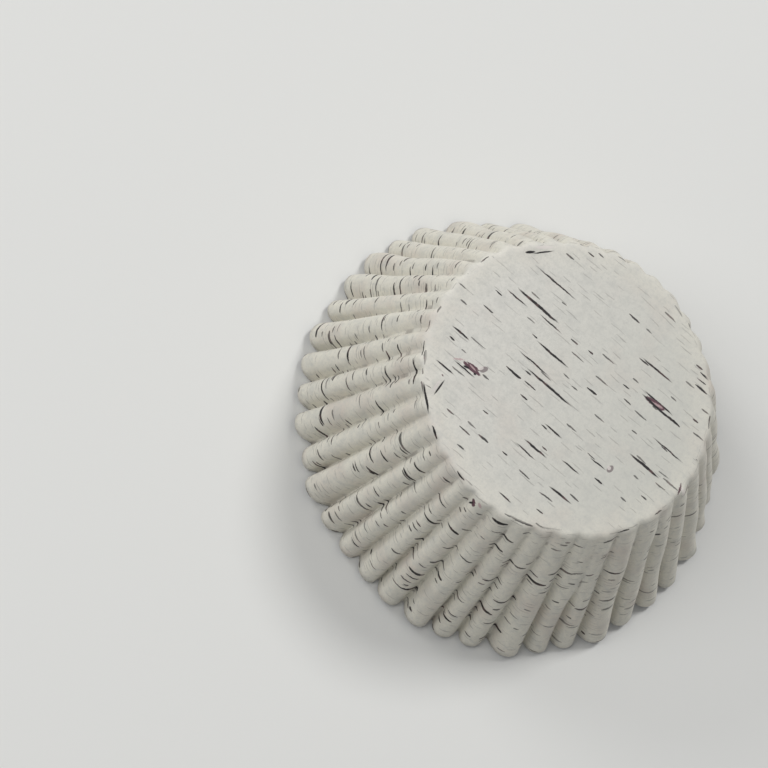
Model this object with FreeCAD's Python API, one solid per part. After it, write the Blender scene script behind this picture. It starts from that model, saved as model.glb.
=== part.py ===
import FreeCAD, Part
import math
import os

os.makedirs("parts", exist_ok=True)

# Cupcake liner, resting mouth down on its rim. Sizes in millimetres, +Z up.
# The origin is the middle of the circle that the rim rests on.

# Sizes of the liner
base_radius = 25.0        # flat round base, out to where the wall turns down
wall_length = 33.0        # paper from the base edge to the rim, along the slope
flare_angle = 21.5        # lean of the wall away from upright, in degrees
corner_radius = 1.2       # rounded turn between base and wall
thickness = 0.10          # paper and foil bonded together
pleat_count = 41
ridge_share = 0.46        # share of a pleat's paper that bends round its ridge
valley_share = 0.16       # share that bends back round its valley

# Where the paper is creased into flats: lengths down the slope, with the rounded
# turn's first, and steps across a pleat round its ridge and its valley
turn_length = corner_radius * math.radians(90.0 - flare_angle)
stations = [0.0, turn_length / 2, turn_length]
stations += [turn_length + share * (wall_length - turn_length) for share in (0.12, 0.4, 1.0)]
ridge_steps = 3
valley_steps = 1


# The unpleated wall at paper length t from the base edge: its radius, its drop
# below the base and how far it has turned down
def middle_line(t):
    full_turn = math.radians(90.0 - flare_angle)
    turn = min(t / corner_radius, full_turn)
    straight = max(t - corner_radius * full_turn, 0.0)
    radius = base_radius + corner_radius * math.sin(turn) + straight * math.cos(turn)
    drop = corner_radius * (1.0 - math.cos(turn)) + straight * math.sin(turn)
    return radius, drop, turn


# Half a pleat from ridge to valley, whose flank turns by angle: points as (across,
# height, slope) through a ridge arc, a straight flank and a valley arc
def half_pleat(half_paper, angle):
    ridge = ridge_share * half_paper / angle
    valley = valley_share * half_paper / angle
    flank = (1.0 - ridge_share - valley_share) * half_paper
    points = []
    for step in range(ridge_steps + 1):
        a = angle * step / ridge_steps
        points.append((ridge * math.sin(a), -ridge * (1.0 - math.cos(a)), a))
    across = points[-1][0] + flank * math.cos(angle) + valley * math.sin(angle)
    height = points[-1][1] - flank * math.sin(angle) - valley * (1.0 - math.cos(angle))
    for step in range(valley_steps, -1, -1):
        a = angle * step / valley_steps
        points.append((across - valley * math.sin(a), height + valley * (1.0 - math.cos(a)), a))
    return [(c, h - height / 2, a) for c, h, a in points]


# Paper doesn't stretch: half a pleat keeps the length it had in the flat blank,
# while its pitch shrinks with the cup. The flank angle that gives both is found
# by halving.
def fitted_pleat(t):
    half_paper = math.pi * (base_radius + t) / pleat_count
    half_pitch = math.pi * middle_line(t)[0] / pleat_count
    low = 0.0
    high = math.pi / 2
    for step in range(40):
        angle = (low + high) / 2
        if half_pleat(half_paper, angle)[-1][0] > half_pitch:
            low = angle
        else:
            high = angle
    return half_pleat(half_paper, high)


# One point of a skin, side +1 for the paper face and -1 for the foil face. The
# pleat's height stands square on the wall, and the skin lies half a thickness off.
def skin_point(t, across, height, slope, side):
    radius, drop, turn = middle_line(t)
    height += side * thickness / 2 * math.cos(slope)
    shift = side * thickness / 2 * math.sin(slope)
    angle = across / radius
    out = radius + height * math.sin(turn)
    x = out * math.cos(angle) - shift * math.sin(angle)
    y = out * math.sin(angle) + shift * math.cos(angle)
    return FreeCAD.Vector(x, y, height * math.cos(turn) - drop)


# A skin as rings of points, one ring for each station, the base edge's first
def skin_rings(side):
    rings = []
    for t in stations:
        half = fitted_pleat(t)
        left = [skin_point(t, -c, h, -a, side) for c, h, a in reversed(half[1:])]
        right = [skin_point(t, c, h, a, side) for c, h, a in half[:-1]]
        ring = []
        for k in range(pleat_count):
            turn = FreeCAD.Rotation(FreeCAD.Vector(0, 0, 1), 360.0 * k / pleat_count)
            ring += [turn.multVec(point) for point in left + right]
        rings.append(ring)
    return rings


def flat_face(points):
    return Part.Face(Part.makePolygon(points + [points[0]]))


# The flats between two rings, two triangles to each step
def strip(ring, next_ring):
    faces = []
    for k in range(len(ring)):
        after = (k + 1) % len(ring)
        faces.append(flat_face([ring[k], ring[after], next_ring[after]]))
        faces.append(flat_face([ring[k], next_ring[after], next_ring[k]]))
    return faces


# Both skins with the base discs they turn down from, and the cut edge of the mouth
faces = []
mouth = []
for side in (1, -1):
    rings = skin_rings(side)
    faces.append(flat_face(rings[0]))
    for ring, next_ring in zip(rings, rings[1:]):
        faces += strip(ring, next_ring)
    mouth.append(rings[-1])
faces += strip(mouth[0], mouth[1])

shell = Part.makeShell(faces)
shell.sewShape()
liner = Part.makeSolid(Part.Shell(shell.Faces))
if liner.Volume < 0:
    liner.reverse()

# The lowest points of the rim, the valleys, come down to the ground plane
liner.translate(FreeCAD.Vector(0, 0, -liner.BoundBox.ZMin))
liner.exportStep("parts/liner.step")
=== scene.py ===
import math

import bpy
import numpy as np
from mathutils import Matrix


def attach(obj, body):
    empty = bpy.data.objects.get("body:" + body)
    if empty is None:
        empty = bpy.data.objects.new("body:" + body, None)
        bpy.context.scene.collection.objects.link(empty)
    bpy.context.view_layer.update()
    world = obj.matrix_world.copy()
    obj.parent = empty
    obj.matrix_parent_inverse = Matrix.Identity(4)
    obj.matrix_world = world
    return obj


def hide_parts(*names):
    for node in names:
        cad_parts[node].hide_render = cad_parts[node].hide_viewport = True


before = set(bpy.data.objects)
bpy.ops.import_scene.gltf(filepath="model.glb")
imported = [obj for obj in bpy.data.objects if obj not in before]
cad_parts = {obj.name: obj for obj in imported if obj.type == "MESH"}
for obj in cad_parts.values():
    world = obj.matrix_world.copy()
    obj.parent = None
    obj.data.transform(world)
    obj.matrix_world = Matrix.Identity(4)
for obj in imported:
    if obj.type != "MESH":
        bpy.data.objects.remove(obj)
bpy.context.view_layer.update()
mm = 0.001

# The liner: one pleated sheet, standing mouth down. Lengths in metres.
liner = {
    "baseRadius": 25.0 * mm,        # flat base, out to where the wall turns down
    "wallLength": 33.0 * mm,        # paper from the base's edge to the rim
    "flare": math.radians(21.5),    # lean of the wall away from upright
    "cornerRadius": 1.2 * mm,
    "thickness": 0.10 * mm,
    "pleats": 41,
    "ridgeShare": 0.62,             # share of a pleat's paper bent round its ridge
    "valleyShare": 0.08,            # and round its valley

    # the pleats just below the base
    "cornerPress": 0.05,            # how much more they are pressed in there
    "pressSide": 0.6,               # by how much that is more on one side and less opposite
    "pressTurn": math.radians(-80.0),   # that side's angle
    "pressJitter": 0.6,             # how unlike each other the pleats are there
    "pressZone": (0.05, 0.1, 0.4),  # shares of the wall: pressed in full from, to, and gone by
    "flushLength": 5.0 * mm,        # how far below the base the ridges stand out in full
    # pleats that run together near the base: the later one's number, down to where they
    # do and where they are apart, and how much of the valley is gone
    "merged": [(7, 13.0 * mm, 22.0 * mm, 0.85), (10, 5.0 * mm, 12.0 * mm, 0.6)],

    # the pleats on the whole wall
    "widthJitter": 0.14,            # how unlike each other the pleats' widths are
    "lean": 0.20,                   # how far ridges lean sideways, as a share of their height
    "swayShare": 0.5,               # share of the lean that comes and goes down a ridge
    "swayRun": 9.0,                 # how far that wave runs from base to rim, in radians
    "swayStart": 7.0,               # how unlike each other the pleats' waves start
    "unevenness": 0.12,             # how unevenly the ridges rise, as a share of their height
    "riseRun": 1.2,                 # how far the wave of that runs, against the sway's
    "riseStart": 5.0,
    "heldShare": 0.1,               # share of the wall that the base holds still

    # slow waves: their size, and how many of each go round
    "cutWave": (0.25 * mm, (1, 2, 7, 17)),      # how unevenly the rim was cut
    "rimWave": (0.45 * mm, (2, 3, 5)),          # in and out of the wall at the rim
    "edgeWave": (0.30 * mm, (3, 4, 6, 9)),      # in and out of the base's edge
    "baseDish": (0.18 * mm, (1, 2, 3)),         # unevenness of the base
    "weakestWave": 0.4,             # the least share of its size that one of them gets
    # where, as shares of the base's radius: the edge's wave starts, the dish is full, and
    # the dish fades and is gone, counted from the base's edge
    "edgeWaveFrom": 0.3,
    "dishFull": 0.8,
    "dishFades": (-0.1, 2.0),

    # small tucks where a pleat's end is folded into the base's edge, in millimetres on
    # the flat sheet: where the fold starts and ends, its width and its height
    "tucks": [
        (15.0, -16.0, 20.0, -15.5, 2.6, 0.30),
        (-9.5, -23.5, -15.5, -19.5, 2.2, 0.30),
        (-2.0, 24.0, -2.5, 27.5, 2.0, 0.22),
    ],

    # the grid
    "rows": (7, 5, 7, 37),          # rows on the base, at its edge, on the turn and on the wall
    "edgeStrip": 0.12,              # share of the base's radius that the rows at its edge cover
    "rowCrowding": 1.15,            # above 1, the wall's rows crowd towards the base
    # columns of half a pleat, from its ridge (0) to its valley (1)
    "columns": (0.0, 0.08, 0.16, 0.24, 0.32, 0.41, 0.50, 0.60, 0.76, 0.92, 0.96),
    "mapMargin": 1.035,             # side of the UV map's square over the flat sheet's diameter
    "seed": 11,
}

# the UV map is a square round the flat sheet, with its centre at the sheet's
sheetSquare = 2 * liner["mapMargin"] * (liner["baseRadius"] + liner["wallLength"])

# the liner's finishes, in the order of its materials
paperFinish, foilFinish, edgeFinish = 0, 1, 2


def smooth(x, start, end):
    # 0 before start, 1 after end, an S between: 3x^2 - 2x^3
    x = np.clip((x - start) / (end - start), 0.0, 1.0)
    return x * x * (3.0 - 2.0 * x)


def waves(angle, wave, weakest, rng):
    # sum over counts of size / sqrt(count) * random * sin(count * angle + random phase),
    # where the first random value is from weakest to 1
    size, counts = wave
    total = np.zeros_like(angle)
    for count in counts:
        strength = size / math.sqrt(count) * rng.uniform(weakest, 1.0)
        total += strength * np.sin(count * angle + rng.uniform(0, 2 * math.pi))
    return total


def middleLine(t, p):
    # the unpleated wall in section, t along the paper from the base's edge: an arc of
    # cornerRadius, then a straight slope; gives radius, drop below the base and how far
    # the wall has turned down
    fullTurn = math.pi / 2 - p["flare"]
    turn = np.clip(t / p["cornerRadius"], 0.0, fullTurn)
    rest = np.maximum(t - p["cornerRadius"] * fullTurn, 0.0)
    radius = p["baseRadius"] + np.minimum(t, 0.0)
    radius = radius + p["cornerRadius"] * np.sin(turn) + rest * np.cos(turn)
    drop = p["cornerRadius"] * (1.0 - np.cos(turn)) + rest * np.sin(turn)
    return radius, drop, turn


def flankAngle(ratio, p):
    # a pleat's pitch over its paper is bent * sin(a) / a + flat * cos(a); the angle a
    # that gives this ratio is read back from a fine table of that curve
    bent = p["ridgeShare"] + p["valleyShare"]
    least, steepest, steps = 1e-4, 1.5, 3000
    angles = np.linspace(least, steepest, steps)
    pitch = bent * np.sin(angles) / angles + (1.0 - bent) * np.cos(angles)
    return np.maximum(np.interp(-ratio, -pitch, angles), least)


def pleatSection(share, angle, p):
    # share is the part of half a pleat's paper from the ridge (0) to the valley (1):
    # ridge arc, straight flank, valley arc; gives across and height over the valley, both
    # as shares of that paper
    ridge, valley = p["ridgeShare"], p["valleyShare"]
    flat = 1.0 - ridge - valley
    onRidge = angle * np.clip(share / ridge, 0.0, 1.0)
    onFlank = np.clip(share - ridge, 0.0, flat)
    onValley = angle * np.clip((1.0 - share) / valley, 0.0, 1.0)
    arcs = ridge * np.sin(onRidge) + valley * (np.sin(angle) - np.sin(onValley))
    across = arcs / angle + onFlank * np.cos(angle)
    falls = ridge * (1.0 - np.cos(onRidge)) + valley * (np.cos(onValley) - np.cos(angle))
    fall = falls / angle + onFlank * np.sin(angle)
    depth = (ridge + valley) * (1.0 - np.cos(angle)) / angle + flat * np.sin(angle)
    return across, depth - fall


def tuckHeight(x, y, tucks):
    # cones about each fold's line: rise * (1 - sqrt((run / half)^2 + (side / half width)^2))
    height = np.zeros_like(x)
    for x0, y0, x1, y1, width, rise in tucks:
        half = math.hypot(x1 - x0, y1 - y0) / 2
        wayX, wayY = (x1 - x0) / (2 * half), (y1 - y0) / (2 * half)
        dx, dy = x / mm - (x0 + x1) / 2, y / mm - (y0 + y1) / 2
        far = np.hypot((dx * wayX + dy * wayY) / half, (dy * wayX - dx * wayY) / (width / 2))
        height = np.maximum(height, rise * mm * np.clip(1.0 - far, 0.0, 1.0))
    return height


def sheetRows(p):
    # distance of each row from the base's edge, measured on the paper: below zero on the
    # base, and on the wall crowded by the power rowCrowding
    onBase, atEdge, onTurn, onWall = p["rows"]
    corner = p["cornerRadius"] * (math.pi / 2 - p["flare"])
    strip = p["edgeStrip"] * p["baseRadius"]
    base = np.linspace(strip, p["baseRadius"] - strip, onBase) - p["baseRadius"]
    edge = np.linspace(-strip, 0.0, atEdge + 1)[1:-1]
    turn = np.linspace(0.0, corner, onTurn)[:-1]
    wall = corner + (p["wallLength"] - corner) * np.linspace(0.0, 1.0, onWall) ** p["rowCrowding"]
    return np.concatenate([base, edge, turn, wall])[:, None]


def linerSheet(p):
    # the middle of the sheet as a grid: rows go out from the base's centre to the rim,
    # columns go round; also each point's place in the flat sheet, and how deep in a
    # fold it lies
    rng = np.random.default_rng(p["seed"])
    pleats, wallLength, baseRadius = p["pleats"], p["wallLength"], p["baseRadius"]
    t = sheetRows(p)

    # columns: each pleat runs from valley to valley, with its own width
    half = np.array(p["columns"])
    places = np.concatenate([[-1.0], -half[:0:-1], half])
    widths = 1.0 + p["widthJitter"] * rng.uniform(-1.0, 1.0, pleats)
    widths *= 2 * math.pi / widths.sum()
    centres = np.cumsum(widths) - widths / 2
    centres -= centres[0]

    def eachColumn(values):
        return np.repeat(values, len(places))[None, :]

    def unlikePleats():
        return eachColumn(rng.uniform(-1.0, 1.0, pleats))

    halfWidth, centre = eachColumn(widths / 2), eachColumn(centres)
    signed = np.tile(places, pleats)[None, :]
    share = np.abs(signed)
    flatAngle = centre + signed * halfWidth

    # what differs round the liner
    cut = waves(flatAngle, p["cutWave"], p["weakestWave"], rng) / wallLength
    lean = unlikePleats() * p["lean"]
    bend = unlikePleats()
    rimWave = waves(flatAngle, p["rimWave"], p["weakestWave"], rng)
    edgeWave = waves(flatAngle, p["edgeWave"], p["weakestWave"], rng)
    dish = waves(flatAngle, p["baseDish"], p["weakestWave"], rng)
    unlike = 1.0 + p["pressJitter"] * unlikePleats()
    unlike = unlike * (1.0 + p["pressSide"] * np.cos(flatAngle - p["pressTurn"]))

    # pleats as deep as their paper asks, and pressed deeper just below the base; the
    # rim isn't cut quite even
    t = t * (1.0 + cut * smooth(t, 0.0, wallLength))
    fullFrom, fullTo, goneBy = [zone * wallLength for zone in p["pressZone"]]
    press = smooth(t, 0.0, fullFrom) * (1.0 - smooth(t, fullTo, goneBy))
    radius, drop, turn = middleLine(t, p)
    sheetRadius = baseRadius + t
    ratio = np.where(t > 0, radius / sheetRadius, 1.0) - p["cornerPress"] * unlike * press
    angle = flankAngle(ratio, p)
    across, height = pleatSection(share, angle, p)
    paper = sheetRadius * halfWidth
    across = across * np.sign(signed) * paper
    evenPaper = sheetRadius * math.pi / pleats
    ridgeHeight = pleatSection(np.zeros_like(angle), angle, p)[1] * evenPaper

    # ridges lean a little sideways, more towards the rim, and rise unevenly
    held = p["heldShare"] * wallLength
    out = smooth(t, held, wallLength)
    along = t / wallLength * p["swayRun"]
    sway = lean + p["swayShare"] * p["lean"] * bend * np.sin(along + p["swayStart"] * bend)
    across = across + height * paper * out * sway
    rise = 1.0 + p["unevenness"] * bend * np.cos(p["riseRun"] * along + p["riseStart"] * lean)
    # near the base the ridges are level with it, further down half a pleat stands out
    flush = 1.0 - smooth(t, 0.0, p["flushLength"])
    height = height * paper * rise - ridgeHeight * (1.0 + flush) / 2

    # pleats that run together: their valley is filled, most in its middle
    pleatPlace = eachColumn(np.arange(pleats)) + signed / 2
    for number, together, apart, amount in p["merged"]:
        valley = number - 0.5
        inValley = np.clip(1.0 - 2.0 * np.abs(pleatPlace - valley), 0.0, 1.0)
        height = height + amount * ridgeHeight * inValley * (1.0 - smooth(t, together, apart))

    # slow waves of the whole wall, a base that isn't quite round or flat, and tucks
    nearEdge = smooth(sheetRadius, p["edgeWaveFrom"] * baseRadius, baseRadius)
    radius = radius + out * rimWave + edgeWave * nearEdge
    dish = dish * smooth(sheetRadius, 0.0, p["dishFull"] * baseRadius)
    fades, gone = [place * baseRadius for place in p["dishFades"]]
    drop = drop - dish * (1.0 - smooth(t, fades, gone))
    flat = np.stack([sheetRadius * np.cos(flatAngle), sheetRadius * np.sin(flatAngle)], axis=-1)
    height = height + tuckHeight(flat[..., 0], flat[..., 1], p["tucks"])

    # lay the section round the middle line
    turnAngle = centre + across / radius
    reach = radius + height * np.sin(turn)
    z = height * np.cos(turn) - drop
    points = np.stack([reach * np.cos(turnAngle), reach * np.sin(turnAngle), z], axis=-1)
    return points, flat, share * smooth(t, 0.0, held)


def gridNormals(points):
    # cross product of the steps down the rows and along the columns, made one long
    around = np.roll(points, -1, axis=1) - np.roll(points, 1, axis=1)
    normal = np.cross(np.gradient(points, axis=0), around)
    return normal / np.linalg.norm(normal, axis=-1, keepdims=True)


def sheetFaces(rows, columns):
    # the grid's faces on both sides of the sheet, a ribbon round the rim and a fan of
    # triangles about each centre, each with its finish; a and b are a face's corners on
    # the row nearer the centre, d and c those on the next one
    size = rows * columns
    row, column = np.meshgrid(np.arange(rows - 1), np.arange(columns), indexing="ij")
    a = row * columns + column
    b = row * columns + (column + 1) % columns
    c, d = b + columns, a + columns
    outside = np.stack([a, d, c, b], axis=-1).reshape(-1, 4)
    inside = np.stack([a, b, c, d], axis=-1).reshape(-1, 4) + size
    column = np.arange(columns)
    after = (column + 1) % columns
    rim = size - columns
    ribbon = np.stack([rim + column, rim + size + column, rim + size + after, rim + after], axis=-1)
    fanOut = np.stack([np.full(columns, 2 * size), column, after], axis=-1)
    fanIn = np.stack([np.full(columns, 2 * size + 1), size + after, size + column], axis=-1)
    return [
        (outside, paperFinish), (inside, foilFinish), (ribbon, edgeFinish),
        (fanOut, paperFinish), (fanIn, foilFinish),
    ]


def buildLiner(p, materials):
    # both faces of the sheet half a thickness from its middle, closed at the base's
    # centre by fans and at the rim by a ribbon
    middle, flat, fold = linerSheet(p)
    gap = p["thickness"] / 2
    normal = gridNormals(middle)
    centre = middle[0].mean(axis=0)
    lift = np.array([0.0, 0.0, gap])
    faces = [(middle + gap * normal).reshape(-1, 3), (middle - gap * normal).reshape(-1, 3)]
    points = np.concatenate(faces + [[centre + lift], [centre - lift]])
    points[:, 2] -= points[:, 2].min()
    flat = np.concatenate([flat.reshape(-1, 2), flat.reshape(-1, 2), np.zeros((2, 2))])
    fold = np.concatenate([fold.ravel(), fold.ravel(), [0.0, 0.0]])

    parts = sheetFaces(*middle.shape[:2])
    loops = np.concatenate([corners.ravel() for corners, finish in parts])
    sides = np.concatenate([np.full(len(corners), corners.shape[1]) for corners, finish in parts])
    finishes = np.concatenate([np.full(len(corners), finish) for corners, finish in parts])

    mesh = bpy.data.meshes.new("linerSheet")
    mesh.vertices.add(len(points))
    mesh.vertices.foreach_set("co", points.ravel())
    mesh.loops.add(len(loops))
    mesh.loops.foreach_set("vertex_index", loops.astype(np.int32))
    mesh.polygons.add(len(sides))
    mesh.polygons.foreach_set("loop_start", np.append(0, np.cumsum(sides)[:-1]).astype(np.int32))
    mesh.polygons.foreach_set("loop_total", sides.astype(np.int32))
    for material in materials:
        mesh.materials.append(material)
    mesh.update(calc_edges=True)
    mesh.polygons.foreach_set("material_index", finishes.astype(np.int32))
    mesh.polygons.foreach_set("use_smooth", finishes != edgeFinish)
    uv = mesh.uv_layers.new(name="flatSheet")
    uv.data.foreach_set("uv", (flat[loops] / sheetSquare + 0.5).ravel())
    depth = mesh.attributes.new("fold", "FLOAT", "POINT")
    depth.data.foreach_set("value", fold)
    mesh.validate()
    piece = bpy.data.objects.new("pleatedLiner", mesh)
    bpy.context.scene.collection.objects.link(piece)
    return piece


class Value:
    # wraps a socket, so that maths on it is written as plain expressions
    def __init__(self, tree, socket):
        self.tree = tree
        self.socket = socket

    def make(self, operation, *inputs, clamp=False):
        # a Math node on these values or sockets
        node = self.tree.nodes.new("ShaderNodeMath")
        node.operation = operation
        node.use_clamp = clamp
        for slot, value in zip(node.inputs, inputs):
            if isinstance(value, Value):
                self.tree.links.new(value.socket, slot)
            else:
                slot.default_value = value
        return Value(self.tree, node.outputs[0])

    def __add__(self, other):
        return self.make("ADD", self, other)

    def __radd__(self, other):
        return self.make("ADD", other, self)

    def __sub__(self, other):
        return self.make("SUBTRACT", self, other)

    def __rsub__(self, other):
        return self.make("SUBTRACT", other, self)

    def __mul__(self, other):
        return self.make("MULTIPLY", self, other)

    def __rmul__(self, other):
        return self.make("MULTIPLY", other, self)

    def __truediv__(self, other):
        return self.make("DIVIDE", self, other)

    def __lt__(self, other):
        return self.make("LESS_THAN", self, other)

    def floor(self):
        return self.make("FLOOR", self)

    def absolute(self):
        return self.make("ABSOLUTE", self)

    def root(self):
        return self.make("SQRT", self)

    def most(self, other):
        return self.make("MAXIMUM", self, other)

    def clamped(self):
        return self.make("ADD", self, 0.0, clamp=True)


class Shader:
    # a new material, with one method that adds any node
    def __init__(self, name):
        self.material = bpy.data.materials.new(name)
        self.material.use_nodes = True
        self.tree = self.material.node_tree
        self.tree.nodes.clear()

    def add(self, kind, settings, out, **inputs):
        # settings first, then sockets by name, or by number as i0, i1
        node = self.tree.nodes.new("ShaderNode" + kind)
        for key, value in settings.items():
            setattr(node, key, value)
        for key, value in inputs.items():
            slot = node.inputs[int(key[1:]) if key[1:].isdigit() else key.replace("_", " ")]
            if isinstance(value, Value):
                self.tree.links.new(value.socket, slot)
            else:
                slot.default_value = value
        return Value(self.tree, node.outputs[out])

    def join(self, x, y, z=0.0):
        return self.add("CombineXYZ", {}, 0, X=x, Y=y, Z=z)

    def split(self, vector):
        x = self.add("SeparateXYZ", {}, 0, Vector=vector)
        return x, Value(self.tree, x.socket.node.outputs[1]), Value(self.tree, x.socket.node.outputs[2])

    def mixColour(self, amount, first, second):
        return self.add("Mix", {"data_type": "RGBA"}, 2, i0=amount, i6=first, i7=second)

    def noise(self, vector, scale, detail=2.0, roughness=0.5):
        return self.add("TexNoise", {}, 0, Vector=vector, Scale=scale, Detail=detail, Roughness=roughness)

    def randoms(self, vector):
        # three random values from 0 to 1, which change with the vector
        colour = self.add("TexWhiteNoise", {"noise_dimensions": "3D"}, 1, Vector=vector)
        return self.split(colour)

    def sheet(self, blend):
        # where a point is on the flat sheet: x and y in millimetres from its centre, its
        # distance and angle from there, and 0 on the base to 1 on the wall
        u, v = self.split(self.add("UVMap", {"uv_map": "flatSheet"}, 0))[:2]
        side = sheetSquare / mm
        x, y = (u - 0.5) * side, (v - 0.5) * side
        reach, angle = (x * x + y * y).root(), x.make("ARCTAN2", y, x)
        edge = liner["baseRadius"] / mm
        return x, y, reach, angle, ramp(reach, edge - blend, edge + blend)

    def bump(self, strength, height):
        # height is in millimetres
        return self.add("Bump", {}, 0, Strength=strength, Distance=1.0 * mm, Height=height)

    def finish(self, **inputs):
        surface = self.add("BsdfPrincipled", {}, 0, **inputs)
        output = self.tree.nodes.new("ShaderNodeOutputMaterial")
        self.tree.links.new(surface.socket, output.inputs["Surface"])
        return self.material


def ramp(value, start, end):
    # 0 at start, 1 at end, straight between
    return ((value - start) * (1.0 / (end - start))).clamped()


def mostOf(values):
    # the greatest of several values
    result = values[0]
    for value in values[1:]:
        result = result.most(value)
    return result


def shown(noise, p):
    # noise as a ramp from the first to the last value that it shows at, times its strength
    return ramp(noise, *p["shows"]) * p["strength"]


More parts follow.
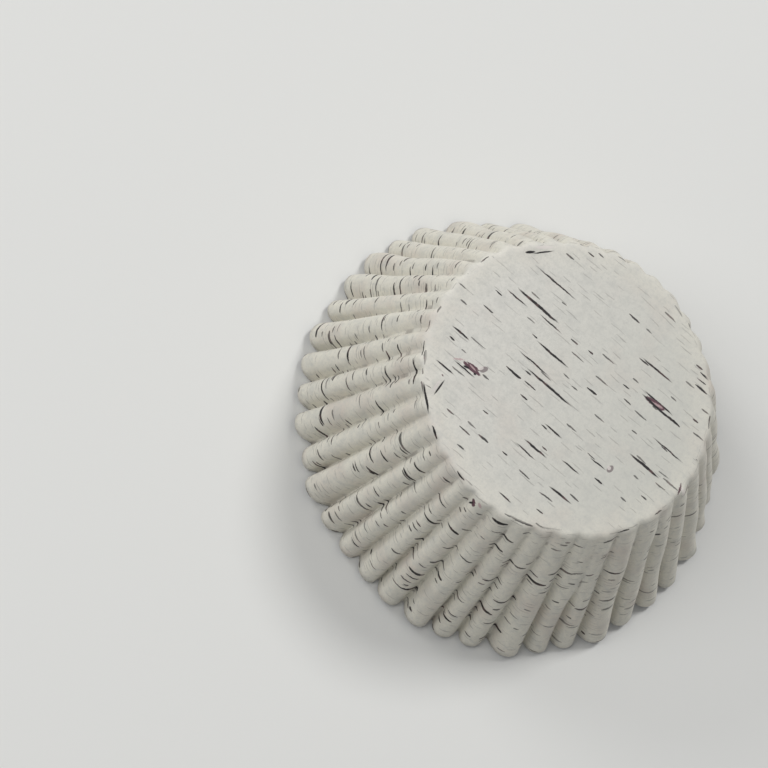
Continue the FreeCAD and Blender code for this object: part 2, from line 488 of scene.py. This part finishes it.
# The paper: its print of dashes like those of birch bark, its scars and its tones.
# Lengths in millimetres on the flat sheet.
bark = {
    "dashTurn": math.radians(97.0),     # way the base's dashes run
    # each layer has rows of cells, with one dash at most in each cell
    "baseLayers": [
        {"row": 3.3, "cell": 8.0, "length": (2.2, 4.2), "width": (0.26, 0.42), "share": 0.18, "ink": 1.15},
        {"row": 2.0, "cell": 5.2, "length": (1.1, 2.8), "width": (0.22, 0.36), "share": 0.30, "ink": 1.10},
        {"row": 0.9, "cell": 5.0, "length": (1.5, 4.2), "width": (0.14, 0.24), "share": 0.40, "ink": 0.30},
    ],
    "wallLayers": [
        {"row": 2.6, "cell": 6.4, "length": (2.4, 6.0), "width": (0.32, 0.58), "share": 0.34, "ink": 1.30},
        {"row": 1.25, "cell": 3.8, "length": (1.0, 2.8), "width": (0.22, 0.36), "share": 0.34, "ink": 1.10},
        {"row": 0.7, "cell": 3.4, "length": (1.2, 3.0), "width": (0.13, 0.22), "share": 0.46, "ink": 0.36},
    ],
    "baseSeed": 11.0,
    "wallSeed": 31.0,
    "stagger": 5.0,                     # the base's rows start up to this many cells apart
    "staggerSeed": (3.0, 7.0),
    "offRow": 0.6,                      # share of a row, about its middle, that dashes lie in
    "skew": 0.9,                        # how unlike the two ends of a dash may be
    "cutShort": 0.98,                   # where a dash ends, as a share of its half length
    "faintest": 0.6,                    # ink of the faintest dash, where the darkest has 1
    "edgeSlope": 14.0,                  # how fast the ink fades over a mark's edge, per mm
    "edgeSpread": 0.4,                  # ink right at a mark's edge, where full ink is 1
    # how far the marks stray from straight, by slow and by fine waves
    "baseStray": (0.5, 0.12),
    "wallStray": (0.7, 0.12),
    "fadeTurn": math.radians(110.0),    # the wall's dashes are fainter on this side
    "fadeZone": (10.0, 50.0),           # from this far that way, to full from here
    "fade": 0.5,                        # share of their ink that is gone there
    # the base's boldest dashes: along and over the way the dashes run, length, width
    "boldDashes": [
        (-12.5, 7.5, 8.5, 0.55), (-12.5, 13.0, 8.0, 0.32), (-16.0, 6.0, 4.0, 0.30),
        (-9.0, 6.5, 4.5, 0.28), (-5.5, 2.5, 6.5, 0.42), (-7.0, -1.0, 6.0, 0.30),
        (-2.5, -2.5, 9.5, 0.45), (-19.5, -5.5, 3.5, 0.38), (-18.0, -12.0, 3.5, 0.36),
        (2.0, -12.5, 4.5, 0.40), (1.0, -14.0, 4.0, 0.28), (18.0, -2.0, 6.0, 0.52),
        (10.0, 13.0, 6.0, 0.40), (13.5, 8.5, 6.0, 0.42), (2.5, -8.0, 3.5, 0.32),
        (10.0, -16.0, 4.5, 0.40), (19.5, 3.0, 6.0, 0.28), (3.0, -22.5, 2.5, 0.32),
        (8.5, -11.0, 3.5, 0.32),
    ],
    # dark spots near the rim, at an angle in degrees and a distance from the middle
    "rimSpots": [(-18.0, 57.0), (-3.0, 54.0), (15.5, 56.0), (46.0, 56.0), (65.0, 56.5), (72.0, 56.0)],
    "rimSpot": (1.0, 0.55),             # their length round the rim and their width
    # scars of the bark, and dark and pale lines along the tucks' folds, which are painted shadow and
    # painted highlight, by tone: start, end and width
    "scars": {
        "plum": [
            (11.0, -15.0, 10.5, -11.5, 0.85), (10.5, -14.5, 10.0, -12.0, 0.50),
            (-9.0, 10.0, -10.0, 14.0, 1.05), (15.5, -16.0, 15.5, -15.5, 0.24),
            (-3.0, 24.5, -1.0, 25.5, 0.30), (-4.0, 25.5, -2.5, 26.5, 0.30),
            (26.5, 2.5, 27.5, 3.5, 0.80),
        ],
        "rose": [
            (-9.0, 11.0, -10.0, 13.5, 0.50), (10.5, -14.0, 10.5, -12.5, 0.30),
            (12.0, -16.5, 10.5, -15.0, 0.30), (26.0, 3.5, 26.5, 4.5, 0.50),
        ],
        "shade": [(10.0, -12.0, 8.5, -11.5, 0.95), (5.5, 14.5, 4.0, 14.5, 1.00)],
        # pale strokes of the print's curls, and painted highlight along the tucks' folds
        "paleAndFoldHighlight": [
            (10.0, -12.5, 9.0, -12.0, 0.60), (5.0, 14.0, 4.5, 14.5, 0.75), (16.5, -15.5, 19.0, -15.0, 0.50),
            (-13.0, -21.0, -15.5, -19.0, 0.60), (-2.5, 25.0, -2.0, 26.5, 0.70),
        ],
        # the knots' ink, and painted shadow along the tucks' folds
        "ink": [
            (12.0, -16.0, 11.5, -12.0, 0.32), (11.5, -14.5, 11.0, -13.5, 0.45),
            (11.0, -12.5, 11.0, -12.0, 0.42), (-9.0, 9.5, -9.5, 15.5, 0.46),
            (6.0, 11.0, 5.5, 14.0, 0.26), (16.0, -15.0, 19.0, -14.5, 0.32),
            (19.0, -17.0, 22.0, -13.0, 0.42), (-11.0, -21.5, -12.5, -20.5, 0.48),
            (-12.0, -20.5, -15.0, -18.5, 0.30), (27.0, 3.0, 28.0, 2.5, 0.35),
        ],
    },
    "scarStrength": {"plum": 1.0, "rose": 0.85, "shade": 0.8, "paleAndFoldHighlight": 0.8, "ink": 1.0},
    "ragged": ("plum", "rose"),         # tones with torn sides
    # how the tears' noise is drawn together along and over the dashes, its own values,
    # the tears' size, and the share of it that goes sideways
    "tear": {"grain": (0.8, 3.0), "noise": (1.6, 2.0, 0.7), "size": 0.9, "aside": 0.3},

    # the ground
    "edgeBlend": 0.3,                   # half the strip where the base's print meets the wall's
    "paleWay": (0.24, -0.97),           # the base is palest towards this way, partly painted light and partly the paper's tint
    "paleZone": (-24.0, 24.0),          # from its grey side to its pale one
    "wallZone": (-5.0, 3.0),            # from the base's ground to the wall's, about the edge
    "warmerWall": 1.4,                  # how much stronger the warm clouds are on the wall
    "streakStretch": 0.35,              # below 1, streaks are longer than wide
    # waves and clouds: scale, detail and roughness of their noise, from where to where of
    # it they show, and how strongly
    "wander": {"noise": (0.35, 3.0, 0.6)},
    "fine": {"noise": (2.6, 2.0, 0.6)},
    "warm": {"noise": (0.11, 2.0, 0.55), "shows": (0.50, 0.70), "strength": 0.25},
    "speckle": {"noise": (1.4, 4.0, 0.7), "shows": (0.46, 0.75), "strength": 0.45},
    "streak": {"noise": (1.1, 3.0, 0.6), "shows": (0.50, 0.72), "strength": 0.35},
    "grain": {"noise": (3.2, 2.0, 0.7), "shows": (0.50, 0.70), "strength": 0.30},
    "patches": {"noise": (0.32, 3.0, 0.6), "shows": (0.50, 0.75), "strength": 0.45},
    "brown": {"noise": (0.8, 1.0, 0.5), "shows": (0.5, 0.7), "strength": 1.0},
    "foldShade": {"noise": (0.30, 3.0, 0.6), "shows": (0.50, 0.60), "strength": 0.45},
    "foldShadeDepth": (0.84, 0.98),         # how deep in a fold the painted shade starts and is full
    # painted highlight at the base's edge, where its corner turns to the light: how fast it fades, per mm,
    # and where it comes in between the base's grey side and its pale one
    "edgeHighlight": {"fades": 0.8, "zone": (-12.0, 16.0), "strength": 0.25},

    # relief in millimetres, and finish
    "fibre": {"noise": (5.0, 5.0, 0.65), "height": 0.022},
    "wrinkle": {"noise": (0.55, 3.0, 0.5), "height": 0.10},
    "bump": 0.6,
    "roughness": (0.62, 0.1),           # least, and how much more the speckle adds
    "colours": {
        # the base's ground from its grey side to its pale one: partly painted light, partly the paper's
        # tint
        "greySide": (0.590, 0.585, 0.525, 1.0),
        "paleSide": (0.720, 0.702, 0.645, 1.0),
        "wall": (0.725, 0.696, 0.606, 1.0),
        "warm": (0.60, 0.525, 0.46, 1.0),
        "grey": (0.50, 0.50, 0.465, 1.0),
        # the painted highlight at the base's edge
        "edgeHighlight": (0.78, 0.755, 0.705, 1.0),
        # the painted shade deep in the folds
        "foldShade": (0.11, 0.085, 0.07, 1.0),
        "ink": (0.010, 0.008, 0.009, 1.0),
        "brown": (0.095, 0.055, 0.052, 1.0),
        "plum": (0.105, 0.045, 0.060, 1.0),
        "rose": (0.50, 0.36, 0.36, 1.0),
        "shade": (0.18, 0.14, 0.145, 1.0),
        "paleAndFoldHighlight": (0.72, 0.67, 0.63, 1.0),
    },
}


def stroke(shader, p, point, middle, turn, length, width):
    # an ellipse of this length and width about its middle: 1 inside, 0 outside, with
    # the same soft edge whatever the width
    unit = shader.add("Mapping", {"vector_type": "TEXTURE"}, 0, Vector=point,
                      Location=(middle[0], middle[1], 0.0), Rotation=(0.0, 0.0, turn),
                      Scale=(length / 2, width / 2, 1.0))
    far = shader.add("VectorMath", {"operation": "LENGTH"}, 1, i0=unit)
    sharp = p["edgeSlope"] * width / 2
    return far.make("MULTIPLY_ADD", far, -sharp, sharp + p["edgeSpread"], clamp=True)


def lineStroke(shader, p, point, x0, y0, x1, y1, width):
    # the same stroke from its two ends
    middle = ((x0 + x1) / 2, (y0 + y1) / 2)
    length = math.hypot(x1 - x0, y1 - y0)
    return stroke(shader, p, point, middle, math.atan2(y1 - y0, x1 - x0), length, width)


def dashes(shader, p, run, row, cellLength, layer, seed):
    # run counts cells along a row and row counts rows; a dash is a lens
    # width * sqrt(1 - (x / half length)^2) about a random middle in its cell, and short
    # ones are more common than long ones
    rowIndex, cellIndex = row.floor(), run.floor()
    chance, place, size = shader.randoms(shader.join(cellIndex, rowIndex, seed))
    depth, shift, thick = shader.randoms(shader.join(cellIndex, rowIndex, seed + 0.5))
    shortest, longest = layer["length"]
    thin, fat = layer["width"]
    half = (shortest + (longest - shortest) * size * size) * 0.5
    room = (0.5 - half / cellLength).most(0.0)
    x = (run - cellIndex - 0.5 - (place - 0.5) * 2.0 * room) * cellLength / half
    y = (row - rowIndex - 0.5 - (shift - 0.5) * p["offRow"]) * layer["row"]
    skew = x * (depth - 0.5) * p["skew"] + 1.0
    wide = (1.0 - x * x).most(0.0).root() * skew * (thin + (fat - thin) * thick) * 0.5
    inside = ((wide - y.absolute()) * p["edgeSlope"] + p["edgeSpread"]).clamped()
    inside = inside * (x.absolute() < p["cutShort"])
    ink = (p["faintest"] + (1.0 - p["faintest"]) * depth) * layer["ink"]
    return inside * (chance < layer["share"]) * ink


def baseDashes(shader, p, x, y, stray, wavy):
    # all run one way: the boldest at their own places, and layers of scattered ones
    turn = p["dashTurn"]
    cosTurn, sinTurn = math.cos(turn), math.sin(turn)
    found = []
    for along, over, length, width in p["boldDashes"]:
        middle = (along * cosTurn - over * sinTurn, along * sinTurn + over * cosTurn)
        found.append(stroke(shader, p, wavy, middle, turn, length, width))
    rowSeed, shiftSeed = p["staggerSeed"]
    for number, layer in enumerate(p["baseLayers"]):
        row = (y * cosTurn - x * sinTurn + stray) / layer["row"]
        stagger = shader.randoms(shader.join(row.floor(), rowSeed + number, shiftSeed))[0]
        run = (x * cosTurn + y * sinTurn) / layer["cell"] + stagger * p["stagger"]
        found.append(dashes(shader, p, run, row, layer["cell"], layer, p["baseSeed"] + number))
    return mostOf(found)


def wallDashes(shader, p, x, y, angle, ring, wavy):
    # they run round the liner, in rings of a whole number of cells, fainter on one side;
    # dark spots lie near the rim
    fullTurn = 2 * math.pi
    around = angle * (1.0 / fullTurn) + 0.5
    found = []
    for number, layer in enumerate(p["wallLayers"]):
        row = ring / layer["row"]
        middle = (row.floor() + 0.5) * layer["row"]
        count = (middle * (fullTurn / layer["cell"])).floor()
        cellLength = middle * fullTurn / count
        found.append(dashes(shader, p, around * count, row, cellLength, layer, p["wallSeed"] + number))
    towards = x * math.cos(p["fadeTurn"]) + y * math.sin(p["fadeTurn"])
    wall = mostOf(found) * (1.0 - p["fade"] * ramp(towards, *p["fadeZone"]))
    length, width = p["rimSpot"]
    for degrees, far in p["rimSpots"]:
        turn = math.radians(degrees)
        middle = (far * math.cos(turn), far * math.sin(turn))
        wall = wall.most(stroke(shader, p, wavy, middle, turn + math.pi / 2, length, width))
    return wall


def paperMaterial(p):
    shader = Shader("birchPaper")
    x, y, reach, angle, onWall = shader.sheet(p["edgeBlend"])
    place = shader.join(x, y)
    edge = liner["baseRadius"] / mm
    cosTurn, sinTurn = math.cos(p["dashTurn"]), math.sin(p["dashTurn"])
    along, over = x * cosTurn + y * sinTurn, y * cosTurn - x * sinTurn
    tones = p["colours"]

    def noise(name, where=place):
        return shader.noise(where, *p[name]["noise"])

    # slight waviness, so that no dash is quite straight
    wander, fine = noise("wander") - 0.5, noise("fine") - 0.5
    slowStray, fineStray = p["baseStray"]
    stray = wander * slowStray + fine * fineStray
    wavy = shader.join(x + stray, y)
    slowStray, fineStray = p["wallStray"]
    ring = reach + wander * slowStray + fine * fineStray
    onBase = baseDashes(shader, p, x, y, stray, wavy)
    mark = (onBase + (wallDashes(shader, p, x, y, angle, ring, wavy) - onBase) * onWall).clamped()

    # the ground: pale and grey sides, partly painted light that makes the base lighter towards one side and
    # partly the paper's tint; warm clouds, grey specks, streaks, grain and patches
    paleness = x * p["paleWay"][0] + y * p["paleWay"][1]
    ground = shader.mixColour(ramp(paleness, *p["paleZone"]), tones["greySide"], tones["paleSide"])
    wallFrom, wallTo = p["wallZone"]
    colour = shader.mixColour(ramp(reach, edge + wallFrom, edge + wallTo), ground, tones["wall"])
    warmth = shown(noise("warm"), p["warm"]) * (1.0 + p["warmerWall"] * onWall)
    colour = shader.mixColour(warmth, colour, tones["warm"])
    speckle = noise("speckle")
    streak = noise("streak", shader.join(along * p["streakStretch"], over))
    greyness = shown(speckle, p["speckle"]) + shown(streak, p["streak"])
    colour = shader.mixColour(greyness, colour, tones["grey"])
    for name in ("grain", "patches"):
        colour = shader.mixColour(shown(noise(name), p[name]), colour, tones["grey"])

    # paler with painted highlight along the base's edge where its corner turns to the light, darker with
    # painted shade in some folds
    edgeHighlight = (1.0 - (reach - edge).absolute() * p["edgeHighlight"]["fades"]).most(0.0)
    edgeHighlight = edgeHighlight * ramp(paleness, *p["edgeHighlight"]["zone"]) * p["edgeHighlight"]["strength"]
    colour = shader.mixColour(edgeHighlight, colour, tones["edgeHighlight"])
    # painted shade in patches deep in the folds, which also gives some valleys their dark specks
    fold = shader.add("Attribute", {"attribute_name": "fold"}, 2)
    foldShade = ramp(fold, *p["foldShadeDepth"]) * shown(noise("foldShade"), p["foldShade"])
    colour = shader.mixColour(foldShade, colour, tones["foldShade"])

    # the print, the scars over it, and painted shadow and highlight along the tucks' folds
    ink = shader.mixColour(shown(noise("brown"), p["brown"]), tones["ink"], tones["brown"])
    colour = shader.mixColour(mark, colour, ink)
    tear = p["tear"]
    tearGrain = shader.join(along * tear["grain"][0], over * tear["grain"][1])
    torn = (noise("tear", tearGrain) - 0.5) * tear["size"]
    torn = shader.join(x + torn * tear["aside"], y + torn)
    for tone, lines in p["scars"].items():
        point = torn if tone in p["ragged"] else wavy
        found = mostOf([lineStroke(shader, p, point, *line) for line in lines])
        colour = shader.mixColour(found * p["scarStrength"][tone], colour, tones[tone])

    height = noise("fibre") * p["fibre"]["height"] + noise("wrinkle") * p["wrinkle"]["height"]
    smoothest, rougher = p["roughness"]
    roughness = smoothest + rougher * speckle
    return shader.finish(Base_Color=colour, Roughness=roughness, Normal=shader.bump(p["bump"], height))


# The foil inside: fine lines drawn along the pleats, and a crumple that is broader on the
# base. Noise as its scale, detail and roughness, heights in millimetres.
foil = {
    "edgeBlend": 0.5,               # half the strip where the base's finish meets the wall's
    "linesRound": 34.0,             # how closely the lines stand round the wall
    "linesAlong": 0.12,             # how little they change along it
    "lineNoise": (1.0, 3.0, 0.6),
    "lineHeight": 0.16,
    "crinkleNoise": (0.7, 4.0, 0.6),
    "crinkleHeight": 0.07,
    "dentScale": 0.30,
    "dentHeight": (0.20, 0.05),     # on the base and on the wall
    "bump": 0.7,
    "roughness": (0.22, 0.12),      # least, and how much more the crinkle adds
    "bright": (0.80, 0.81, 0.83, 1.0),
    "dull": (0.62, 0.64, 0.68, 1.0),
}


def foilMaterial(p):
    shader = Shader("silverFoil")
    x, y, reach, angle, onWall = shader.sheet(p["edgeBlend"])
    place = shader.join(x, y)
    lines = shader.join(angle * p["linesRound"], reach * p["linesAlong"])
    drawn = shader.noise(lines, *p["lineNoise"]) * onWall
    crinkle = shader.noise(place, *p["crinkleNoise"])
    dents = shader.add("TexVoronoi", {"feature": "SMOOTH_F1"}, 0, Vector=place, Scale=p["dentScale"])
    onBaseDeep, onWallDeep = p["dentHeight"]
    dents = dents * (onBaseDeep - (onBaseDeep - onWallDeep) * onWall)
    height = crinkle * p["crinkleHeight"] + drawn * p["lineHeight"] + dents
    colour = shader.mixColour(drawn, p["bright"], p["dull"])
    smoothest, rougher = p["roughness"]
    roughness = smoothest + rougher * crinkle
    normal = shader.bump(p["bump"], height)
    return shader.finish(Base_Color=colour, Metallic=1.0, Roughness=roughness, Normal=normal)


# The cut edge of the paper at the rim
cutEdge = {
    "grain": 900.0,                 # scale of its noise, per metre
    "roughness": 0.5,
    "grey": (0.62, 0.61, 0.58, 1.0),
    "pale": (0.74, 0.73, 0.70, 1.0),
}


def edgeMaterial(p):
    shader = Shader("cutEdge")
    grain = shader.noise(shader.add("TexCoord", {}, 3), p["grain"])
    return shader.finish(Base_Color=shader.mixColour(grain, p["grey"], p["pale"]), Roughness=p["roughness"])


# Camera: at the photograph's viewing angle and framing. The view is turned about its
# own line of sight, and the aim lies off the liner's middle.
camera = {
    "elevation": math.radians(66.39),
    "azimuth": math.radians(0.0),
    "roll": math.radians(47.19),
    "distance": 550.6 * mm,
    "aside": (22.01 * mm, -8.56 * mm),  # the liner's place off the middle of the view
    "aimHeight": 1.1 * mm,
    "pixelsPerMm": 5.72,
    "imageSide": 768,
    "sensor": 36.0,                     # width in millimetres
    "clip": (10.0 * mm, 10.0),          # nearest and farthest that it sees
}


def wayTo(turn, rise):
    # a step of length 1, at this turn round the liner and this rise above the floor
    return np.array([math.cos(rise) * math.cos(turn), math.cos(rise) * math.sin(turn), math.sin(rise)])


def setPlace(obj, x, y, z, place):
    # columns of the matrix: the object's own three ways, then its place
    matrix = np.eye(4)
    matrix[:3, 0], matrix[:3, 1], matrix[:3, 2], matrix[:3, 3] = x, y, z, place
    obj.matrix_world = Matrix(matrix.tolist())
    bpy.context.scene.collection.objects.link(obj)


def makeCamera(p):
    # back points from the liner to the camera; right and up are turned by the roll
    back = wayTo(p["azimuth"], p["elevation"])
    right = np.array([-math.sin(p["azimuth"]), math.cos(p["azimuth"]), 0.0])
    up = np.cross(back, right)
    cosRoll, sinRoll = math.cos(p["roll"]), math.sin(p["roll"])
    right, up = right * cosRoll + up * sinRoll, up * cosRoll - right * sinRoll
    place = back * p["distance"] - right * p["aside"][0] - up * p["aside"][1]
    place[2] += p["aimHeight"]
    data = bpy.data.cameras.new("camera")
    data.sensor_width = p["sensor"]
    data.lens = p["pixelsPerMm"] / mm * p["distance"] / p["imageSide"] * p["sensor"]
    data.clip_start, data.clip_end = p["clip"]
    obj = bpy.data.objects.new("camera", data)
    setPlace(obj, right, up, back, place)
    bpy.context.scene.camera = obj


# Lamps: way and height they stand at in degrees, distance and size in metres, and power
# in watts
lamps = {
    "window": {"turn": 270.0, "rise": 28.0, "far": 1.3, "size": 0.6, "power": 4.4},
    "lamp": {"turn": 180.0, "rise": 52.0, "far": 1.3, "size": 0.34, "power": 6.7},
    "side": {"turn": 315.0, "rise": 50.0, "far": 0.8, "size": 0.45, "power": 1.45},
}
lampAim = np.array([0.0, 0.0, 10.0 * mm])

# The room: a plain sky, and a floor of this half width in metres
surroundings = {
    "sky": (0.97, 0.98, 1.0, 1.0),
    "skyStrength": 0.29,
    "floor": (0.775, 0.775, 0.75, 1.0),
    "floorRoughness": 0.7,
    "floorHalf": 3.0,
}


def areaLamp(name, p):
    # a disk on a sphere about the liner, facing lampAim
    place = wayTo(math.radians(p["turn"]), math.radians(p["rise"])) * p["far"]
    z = place - lampAim
    z = z / np.linalg.norm(z)
    x = np.cross([0.0, 0.0, 1.0], z)
    x = x / np.linalg.norm(x)
    data = bpy.data.lights.new(name, "AREA")
    data.shape = "DISK"
    data.size = p["size"]
    data.energy = p["power"]
    setPlace(bpy.data.objects.new(name, data), x, np.cross(z, x), z, place)


def makeSky(p):
    world = bpy.data.worlds.new("studio")
    world.use_nodes = True
    background = world.node_tree.nodes["Background"]
    background.inputs["Color"].default_value = p["sky"]
    background.inputs["Strength"].default_value = p["skyStrength"]
    bpy.context.scene.world = world


def makeFloor(p):
    half = p["floorHalf"]
    mesh = bpy.data.meshes.new("floor")
    corners = [(-half, -half, 0), (half, -half, 0), (half, half, 0), (-half, half, 0)]
    mesh.from_pydata(corners, [], [(0, 1, 2, 3)])
    finish = Shader("floorPaper").finish(Base_Color=p["floor"], Roughness=p["floorRoughness"])
    mesh.materials.append(finish)
    floor = bpy.data.objects.new("floor", mesh)
    bpy.context.scene.collection.objects.link(floor)


print("camera and light")
makeCamera(camera)
for name, lamp in lamps.items():
    areaLamp(name, lamp)
makeSky(surroundings)
makeFloor(surroundings)
bpy.context.scene.view_settings.view_transform = "Standard"

print("printing the paper")
finishes = [paperMaterial(bark), foilMaterial(foil), edgeMaterial(cutEdge)]

print("folding the liner")
piece = buildLiner(liner, finishes)
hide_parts("liner")
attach(piece, "root")

print("done")
